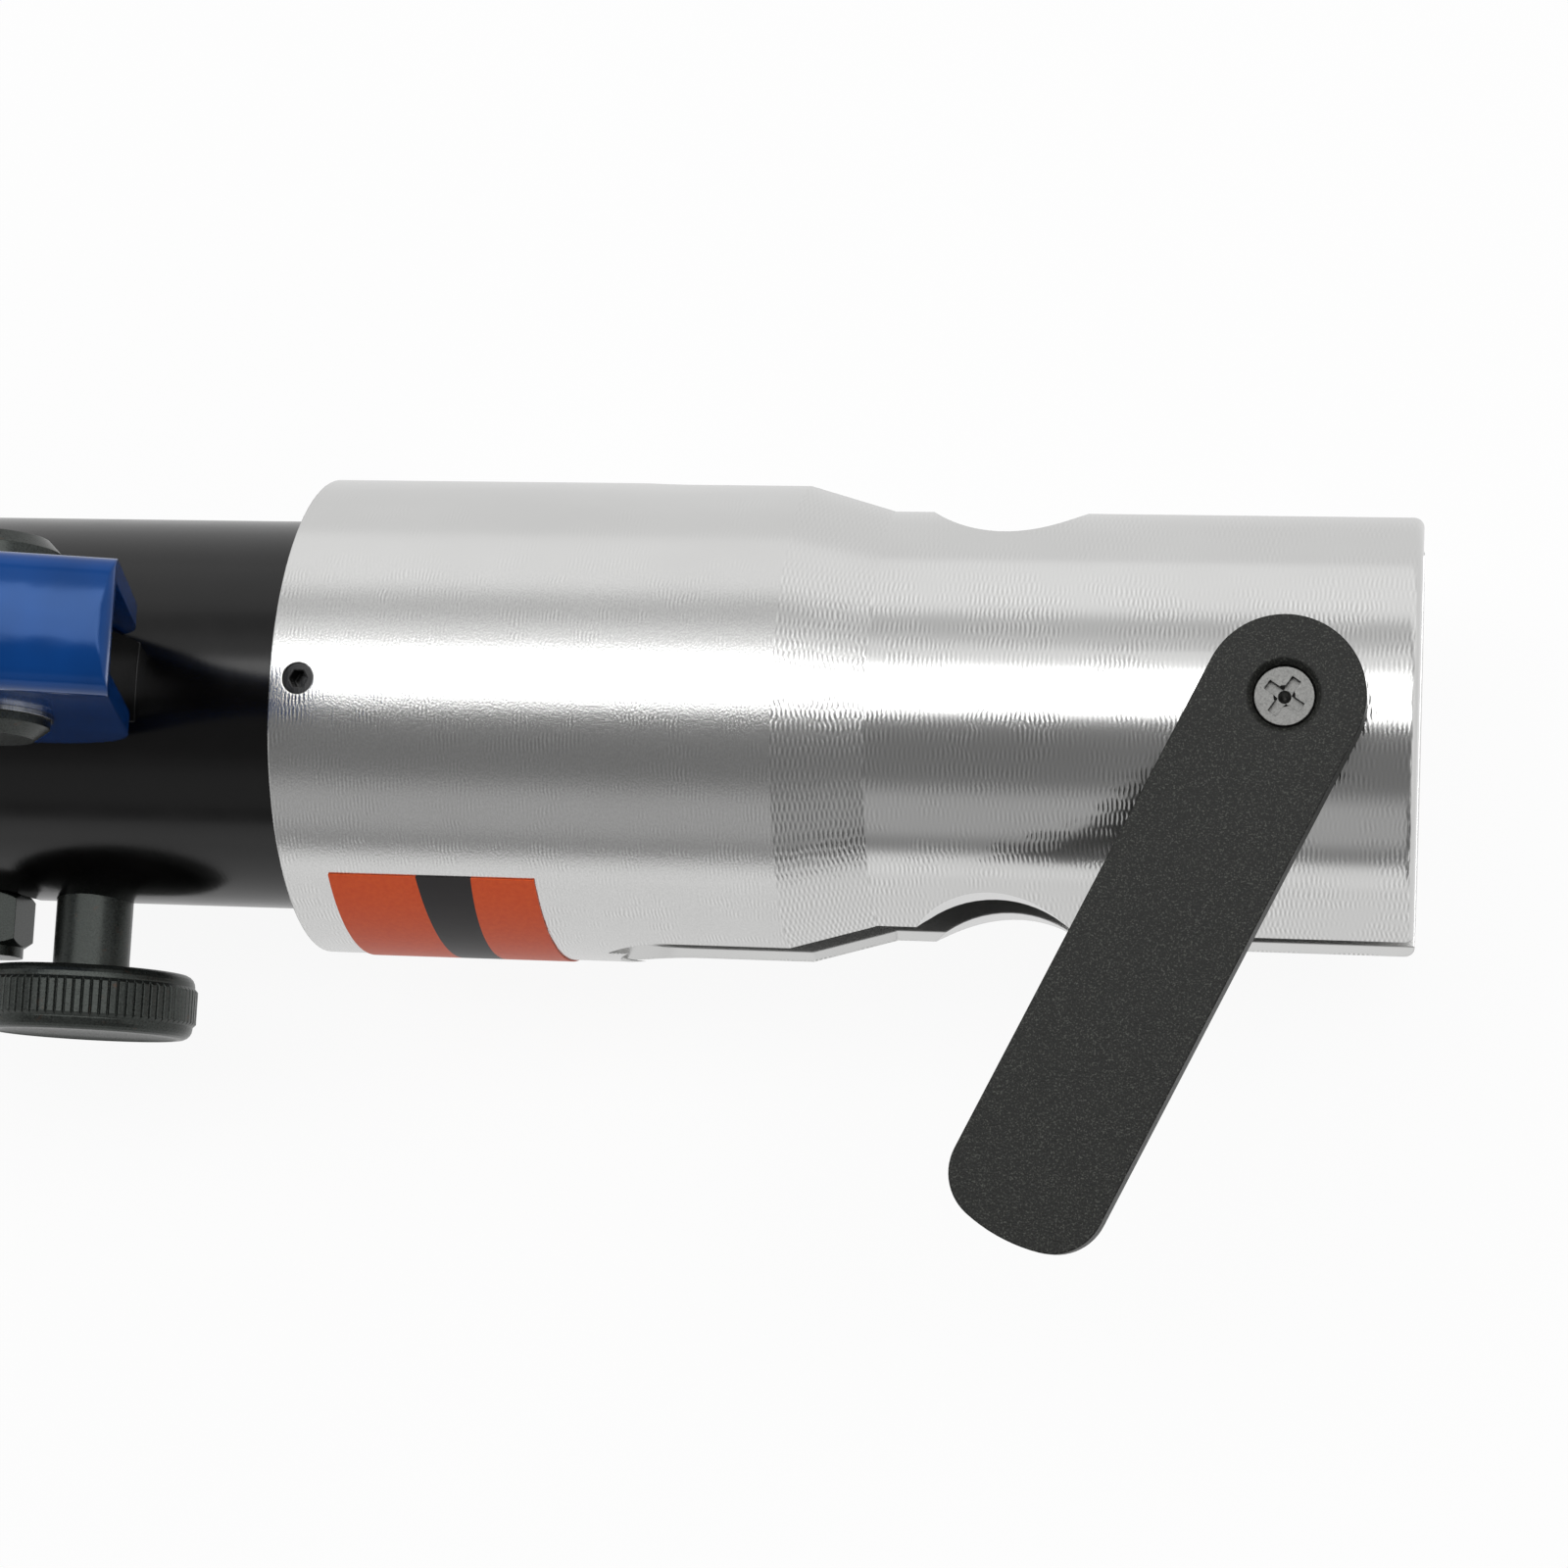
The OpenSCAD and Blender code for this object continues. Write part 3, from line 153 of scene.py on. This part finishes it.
def turned_aluminium():
    """Bare aluminium off the lathe: short chatter dashes on the cone, longer ones on the nose,
    and a frosty cylinder behind them."""
    material, tree, shader = new_finish("turned_aluminium", Metallic=1.0)
    sides = add(tree, "SeparateXYZ", {"Vector": place(tree)})
    along, across, up = (sides.outputs[axis] for axis in "XYZ")
    past_start = add(tree, "Math", {0: along, 1: CONE_START}, operation="GREATER_THAN")
    before_end = add(tree, "Math", {0: along, 1: CONE_END}, operation="LESS_THAN")
    on_cone = add(tree, "Math", {0: past_start, 1: before_end}, operation="MULTIPLY")
    on_nose = add(tree, "Math", {0: along, 1: CONE_END}, operation="GREATER_THAN")

    # Milled faces lie inside the turned outline and have no lathe marks
    outline = add(tree, "MapRange", {"Value": along, "From Min": CONE_START, "From Max": CONE_END,
                                     "To Min": SHANK_EDGE, "To Max": NOSE_EDGE})
    up_squared = add(tree, "Math", {0: up, 1: up}, operation="MULTIPLY")
    squared = add(tree, "Math", {0: across, 1: across, 2: up_squared}, operation="MULTIPLY_ADD")
    radius = add(tree, "Math", {0: squared}, operation="SQRT")
    turned = add(tree, "Math", {0: radius, 1: outline}, operation="GREATER_THAN")

    # The frosty cylinder, streaked in places
    frost = add(tree, "MapRange", {"Value": speckle(tree, 0.17, (1, 1.8, 1.8), 1.0),
                                   "From Min": 0.3, "From Max": 0.7, "To Min": -1.0})
    faint_frost = add(tree, "Math", {0: frost, 1: 0.2}, operation="MULTIPLY")
    streaked = add(tree, "MapRange", {"Value": speckle(tree, 5.0), "From Min": 0.45,
                                      "From Max": 0.62, "To Max": 0.55})
    streaks = add(tree, "Math", {0: lathe_marks(tree, 0.5, 2.6, 1.6), 1: streaked},
                  operation="MULTIPLY")
    frosty = add(tree, "Math", {0: faint_frost, 1: streaks}, operation="ADD")

    # The cone's short dashes, and the nose's longer ones, which come in patches
    strong = add(tree, "MapRange", {"Value": speckle(tree, 4.0), "From Min": 0.35,
                                    "From Max": 0.6, "To Min": 0.5})
    short = add(tree, "Math", {0: lathe_marks(tree, 0.58, 1.35, 1.2), 1: strong},
                operation="MULTIPLY")
    patches = add(tree, "MapRange", {"Value": speckle(tree, 7.0), "From Min": 0.38,
                                     "From Max": 0.6, "To Min": 0.1})
    drawn = add(tree, "Math", {0: lathe_marks(tree, 0.58, 2.1, 1.2), 1: patches},
                operation="MULTIPLY")
    behind_nose = add(tree, "Mix", {0: on_cone, 2: frosty, 3: short}, data_type="FLOAT")
    all_round = add(tree, "Mix", {0: on_nose, 2: behind_nose, 3: drawn}, data_type="FLOAT")

    # The +Y side was cut more smoothly
    smooth_side = add(tree, "MapRange", {"Value": across, "From Min": 11.0, "From Max": 17.0,
                                         "To Min": 1.0, "To Max": 0.15})
    marked = add(tree, "Math", {0: turned, 1: smooth_side}, operation="MULTIPLY")
    marks = add(tree, "Math", {0: marked, 1: all_round}, operation="MULTIPLY")

    # The lathe dashes and frost are painted lighter and darker in the metal's colour, a painted
    # glint of the lamp on their facets on top of their bump; the metal is also duller in broad
    # patches
    marks_with_painted_glint = two_tones(tree, marks, "#B8B8B7", "#F6F6F5", 1.0, -1.0, 1.0)
    stain = two_tones(tree, speckle(tree, 22.0, (1.6, 1, 1)), marks_with_painted_glint, "#C6C5C4", 0.3)
    smooth = add(tree, "Mix", {0: on_nose, 2: 0.21, 3: 0.17}, data_type="FLOAT")
    gloss = add(tree, "Math", {0: marks, 1: 0.03, 2: smooth}, operation="MULTIPLY_ADD")
    height = add(tree, "Math", {0: marks, 1: 0.5, 2: 0.5}, operation="MULTIPLY_ADD")
    strength = add(tree, "Mix", {0: on_cone, 2: 0.75, 3: 1.0}, data_type="FLOAT")
    rounded = add(tree, "Bevel", {"Radius": 0.25 * MM}, samples=6)
    felt = add(tree, "Bump", {"Height": height, "Distance": 0.045 * MM, "Strength": strength,
                              "Normal": rounded})
    fill(tree, shader, {"Base Color": stain, "Roughness": gloss, "Normal": felt})
    return material


def black_oxide():
    """Blackened turned steel with an oily sheen, its turning rings only just felt."""
    material, tree, shader = new_finish("black_oxide", Metallic=0.0, Specular_IOR_Level=0.38)
    rings = speckle(tree, 0.35, (1, 8, 8), 1.0)
    wear = speckle(tree, 6.0, detail=5.0)
    fill(tree, shader, {"Base Color": two_tones(tree, wear, "#050505", "#0B0A0A")})
    uneven_gloss(tree, shader, wear, 0.17, 0.22)
    raised_grain(tree, shader, rings, 0.006, 0.3)
    return material


def dark_steel():
    """Oiled dark steel with a few rusty freckles."""
    material, tree, shader = new_finish("dark_steel", Metallic=0.7, Specular_IOR_Level=0.5)
    grain = speckle(tree, 0.3, detail=4.0)
    freckles = speckle(tree, 1.6, detail=5.0, roughness=0.7)
    base = two_tones(tree, grain, "#2B2E2C", "#434744")
    rusty = two_tones(tree, freckles, base, "#5C3A24", 0.5, 0.62, 0.75)
    fill(tree, shader, {"Base Color": rusty})
    uneven_gloss(tree, shader, grain, 0.24, 0.38)
    raised_grain(tree, shader, grain, 0.008, 0.15)
    return material


def blue_enamel():
    """Glossy blue enamel on pressed steel, a little wavy and with fine dust in it."""
    material, tree, shader = new_finish("blue_enamel", Roughness=0.12, Specular_IOR_Level=0.8,
                                        Specular_Tint="#8CB0EC")
    waves = speckle(tree, 9.0, detail=2.0)
    dust = speckle(tree, 0.5)
    rounded = add(tree, "Bevel", {"Radius": 0.5 * MM}, samples=6)
    wavy = add(tree, "Bump", {"Height": waves, "Distance": 0.12 * MM, "Normal": rounded})
    dusty = add(tree, "Bump", {"Height": dust, "Distance": 0.003 * MM, "Normal": wavy})
    fill(tree, shader, {"Base Color": two_tones(tree, waves, "#05346F", "#073C7E"),
                        "Normal": dusty})
    return material


def moulded_black():
    """Black moulded plastic with a fine spark-eroded grain and pale flecks."""
    material, tree, shader = new_finish("moulded_black", Specular_IOR_Level=0.3)
    grain = speckle(tree, 0.3, detail=2.0, roughness=0.65)
    flecks = speckle(tree, 0.22, detail=1.0)
    dark = two_tones(tree, grain, "#070806", "#1B1C19")
    flecked = two_tones(tree, flecks, dark, "#5E605A", 0.55, 0.54, 0.74)
    fill(tree, shader, {"Base Color": flecked})
    uneven_gloss(tree, shader, grain, 0.42, 0.58)
    raised_grain(tree, shader, grain, 0.06, 0.35)
    return material


def grip_rubber():
    """Matt black rubber with a soft bloom."""
    material, tree, shader = new_finish("grip_rubber", Specular_IOR_Level=0.35)
    grain = speckle(tree, 0.5)
    bloom = speckle(tree, 14.0, detail=4.0)
    fill(tree, shader, {"Base Color": two_tones(tree, bloom, "#171718", "#232324")})
    uneven_gloss(tree, shader, grain, 0.62, 0.8)
    raised_grain(tree, shader, grain, 0.05, 0.5)
    return material


def ground_steel():
    """Bright ground steel with fine scratches."""
    material, tree, shader = new_finish("ground_steel", Metallic=1.0)
    scratches = speckle(tree, 0.2, (1, 12, 12))
    fill(tree, shader, {"Base Color": two_tones(tree, scratches, "#8F9193", "#B4B6B8")})
    uneven_gloss(tree, shader, scratches, 0.16, 0.3)
    raised_grain(tree, shader, scratches, 0.003, 0.1)
    return material


def zinc_plate():
    """Dull zinc-plated screw head."""
    material, tree, shader = new_finish("zinc_plate", Metallic=1.0)
    grain = speckle(tree, 0.25, detail=4.0)
    fill(tree, shader, {"Base Color": two_tones(tree, grain, "#4E4E4D", "#7E7E7C")})
    uneven_gloss(tree, shader, grain, 0.28, 0.45)
    raised_grain(tree, shader, grain, 0.015, 0.12)
    return material


def machined_bronze():
    """Yellow machined bronze of the bushes."""
    material, tree, shader = new_finish("machined_bronze", Metallic=1.0)
    rings = speckle(tree, 0.3, (8, 8, 1), 2.0)
    felt = add(tree, "Bump", {"Height": rings, "Distance": 0.004 * MM})
    fill(tree, shader, {"Base Color": two_tones(tree, rings, "#8C6A38", "#B08A4E"),
                        "Normal": felt})
    uneven_gloss(tree, shader, rings, 0.25, 0.4)
    return material


def plain_label():
    """Satin film, orange with one black band across it and nothing printed on it."""
    material, tree, shader = new_finish("plain_label", Roughness=0.42, Specular_IOR_Level=0.25)
    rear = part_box("head_label")[0].x / MM
    sides = add(tree, "SeparateXYZ", {"Vector": place(tree)})
    along, across = sides.outputs["X"], sides.outputs["Y"]

    # The band leans a little, as the label isn't quite square
    lean = add(tree, "MapRange", {"Value": across, "From Min": LEAN_FROM, "From Max": LEAN_TO},
               clamp=False)
    start = add(tree, "Math", {0: lean, 1: 0.5, 2: rear + BAND_START}, operation="MULTIPLY_ADD")
    end = add(tree, "Math", {0: lean, 1: -0.6, 2: rear + BAND_END}, operation="MULTIPLY_ADD")
    past_start = add(tree, "Math", {0: along, 1: start}, operation="GREATER_THAN")
    before_end = add(tree, "Math", {0: along, 1: end}, operation="LESS_THAN")
    band = add(tree, "Math", {0: past_start, 1: before_end}, operation="MULTIPLY")

    ink = two_tones(tree, speckle(tree, 0.6), "#D04A1B", "#D95622")
    banded = add(tree, "Mix", {0: band, 6: ink, 7: "#242122"}, data_type="RGBA").outputs[2]
    felt = add(tree, "Bump", {"Height": speckle(tree, 3.0), "Distance": 0.02 * MM})
    fill(tree, shader, {"Base Color": banded, "Normal": felt})
    return material


def dress(material, *names):
    """Gives CAD nodes a finish."""
    for name in names:
        slots = nodes[name].data.materials
        slots.clear()
        slots.append(material)


def dress_all():
    """Every node's finish."""
    dress(turned_aluminium(), "fork_head")
    dress(plain_label(), "head_label")
    dress(black_oxide(), "pump_body", "oil_tank", "handle_tube", "tube_pin", "head_set_screws")
    dress(dark_steel(), "release_knob", "release_spindle", "pivot_pin", "pivot_nut",
          "relief_plug", "roller_carriage")
    dress(blue_enamel(), "handle_yoke")
    dress(moulded_black(), "lock_lever", "tank_cap", "handle_plug")
    dress(grip_rubber(), "handle_grip", "fixed_grip", "rod_wiper", "piston_seal", "plunger_seal",
          "spindle_seal", "cap_seal", "oil_bladder")
    dress(ground_steel(), "jaw_pin", "detent_ball", "detent_spring", "piston_rod",
          "return_spring", "carriage_dowel", "roller_pins", "upper_roller", "lower_roller",
          "plunger", "plunger_pin", "plunger_clip", "suction_ball", "delivery_ball",
          "relief_spring", "relief_ball", "pivot_washer", "bladder_clamp")
    dress(zinc_plate(), "lever_screw", "filler_plug")
    dress(machined_bronze(), "gland_nut", "plunger_gland")


def smooth_nodes():
    """Smooth shading on the curved faces, with the CAD edges kept sharp."""
    for piece in nodes.values():
        bpy.ops.object.select_all(action="DESELECT")
        piece.select_set(True)
        bpy.context.view_layer.objects.active = piece
        bpy.ops.object.shade_smooth_by_angle(angle=math.radians(28))


# Camera, floor and light

def photograph_camera():
    """The photograph's camera, above the nose and looking back along the head."""
    right = Vector((0.9841513, 0.0480493, -0.1706973))
    up = Vector((-0.02467, 0.9903285, 0.1365313))
    back = Vector((0.1756067, -0.1301564, 0.9758184))
    place_at = Vector((19.226, -69.887, 467.46)) * MM
    turn = Matrix((right, up, back)).transposed().to_4x4()
    data = bpy.data.cameras.new("photograph_camera")
    data.sensor_width = 36
    data.lens = 85.527
    data.clip_start = 0.01
    data.clip_end = 50
    camera = bpy.data.objects.new("photograph_camera", data)
    camera.matrix_world = Matrix.Translation(place_at) @ turn
    bpy.context.scene.collection.objects.link(camera)
    bpy.context.scene.camera = camera


def pale_floor():
    """A white table top under the tool, which keeps a faint shadow."""
    level = cad_box[0][2] - 0.2 * MM
    bpy.ops.object.select_all(action="DESELECT")
    bpy.ops.mesh.primitive_plane_add(size=12, location=(0, 0, level))
    floor = bpy.context.object
    floor.name = "floor"
    bpy.ops.object.transform_apply(location=True, rotation=True, scale=True)
    material, tree, shader = new_finish("white_table", Roughness=0.9, Specular_IOR_Level=0.1)
    fill(tree, shader, {"Base Color": two_tones(tree, speckle(tree, 40.0), "#F2F2F2", "#F6F6F6")})
    seen = add(tree, "LightPath")
    by_camera, by_gloss = seen.outputs["Is Camera Ray"], seen.outputs["Is Glossy Ray"]
    straight = add(tree, "Math", {0: by_camera, 1: by_gloss}, operation="MAXIMUM")
    # What metal sees of the table is a little less than the white that the camera sees
    glow = add(tree, "Mix", {0: by_camera, 2: 0.84, 3: 1.0}, data_type="FLOAT")
    white = add(tree, "Emission", {"Color": (1, 1, 1, 1), "Strength": glow})
    share = add(tree, "Math", {0: straight, 1: 0.92}, operation="MULTIPLY")
    mixed = add(tree, "MixShader", {0: share, 1: shader, 2: white})
    fill(tree, tree.nodes["Material Output"], {"Surface": mixed})
    floor.data.materials.append(material)


def room():
    """A white studio whose ceiling runs in long bands beside the tool, dark right above it."""
    world = bpy.data.worlds.new("white_studio")
    bpy.context.scene.world = world
    world.use_nodes = True
    tree = world.node_tree
    direction = add(tree, "TexCoord").outputs["Generated"]
    sides = add(tree, "SeparateXYZ", {"Vector": direction})
    along, across, up = (sides.outputs[axis] for axis in "XYZ")

    # Angle round the tool's axis: 0 straight up, positive towards +Y
    angle = add(tree, "Math", {0: across, 1: up}, operation="ARCTAN2")
    turn = add(tree, "MapRange", {"Value": angle, "From Min": math.radians(-90),
                                  "From Max": math.radians(90)})
    bands = [(-90, 0.92), (-78, 0.86), (-74, 0.25), (-68, 0.25), (-63, 0.44), (-44, 0.44),
             (-35, 0.2), (-4, 0.18), (4, 0.3), (20, 0.9), (36, 0.9), (41, 0.58), (51, 0.58),
             (57, 0.98), (90, 0.98)]
    ramp = add(tree, "ValToRGB", {"Fac": turn})
    stops = ramp.color_ramp.elements
    while len(stops) < len(bands):
        stops.new(0.5)
    for stop, (degrees, light) in zip(stops, bands):
        stop.position = (degrees + 90) / 180
        stop.color = (light, light, light, 1)

    # A dark screen past the -Y side, beyond the nose
    past = add(tree, "MapRange", {"Value": along, "From Min": 0.2, "From Max": 0.5})
    low = add(tree, "MapRange", {"Value": angle, "From Min": math.radians(-15),
                                 "From Max": math.radians(-50)})
    screen = add(tree, "Math", {0: past, 1: low}, operation="MULTIPLY")
    screened = add(tree, "Mix", {0: screen, 6: ramp, 7: (0.2, 0.2, 0.2, 1)},
                   data_type="RGBA").outputs[2]

    # The two end walls are white, and so is all that the camera itself sees
    end_on = add(tree, "Math", {0: along}, operation="ABSOLUTE")
    around = two_tones(tree, end_on, screened, (0.9, 0.9, 0.9, 1), 1.0, 0.76, 0.92)
    by_camera = add(tree, "LightPath").outputs["Is Camera Ray"]
    shown = add(tree, "Mix", {0: by_camera, 6: around, 7: (1, 1, 1, 1)},
                data_type="RGBA").outputs[2]
    fill(tree, tree.nodes["Background"], {"Color": shown})


def soft_box(name, where, towards, width, height, power):
    """A rectangular studio lamp aimed at a point, all in metres and watts."""
    data = bpy.data.lights.new(name, "AREA")
    data.shape = "RECTANGLE"
    data.size = width
    data.size_y = height
    data.energy = power
    lamp = bpy.data.objects.new(name, data)
    bpy.context.scene.collection.objects.link(lamp)
    lamp.location = where
    lamp.rotation_euler = (Vector(towards) - Vector(where)).to_track_quat("-Z", "Y").to_euler()


def lights():
    """One long soft box above the tool, past its +Y side, as the photograph's reflections show."""
    aim = (-0.05, 0, 0)
    lean = math.radians(11.5)
    reach = 1.0
    hung = (aim[0], reach * math.sin(lean), reach * math.cos(lean))
    soft_box("long_soft_box", hung, aim, 1.8, 0.41, 6.2)


smooth_nodes()
dress_all()
photograph_camera()
pale_floor()
room()
lights()

bpy.context.scene.view_settings.view_transform = "Standard"
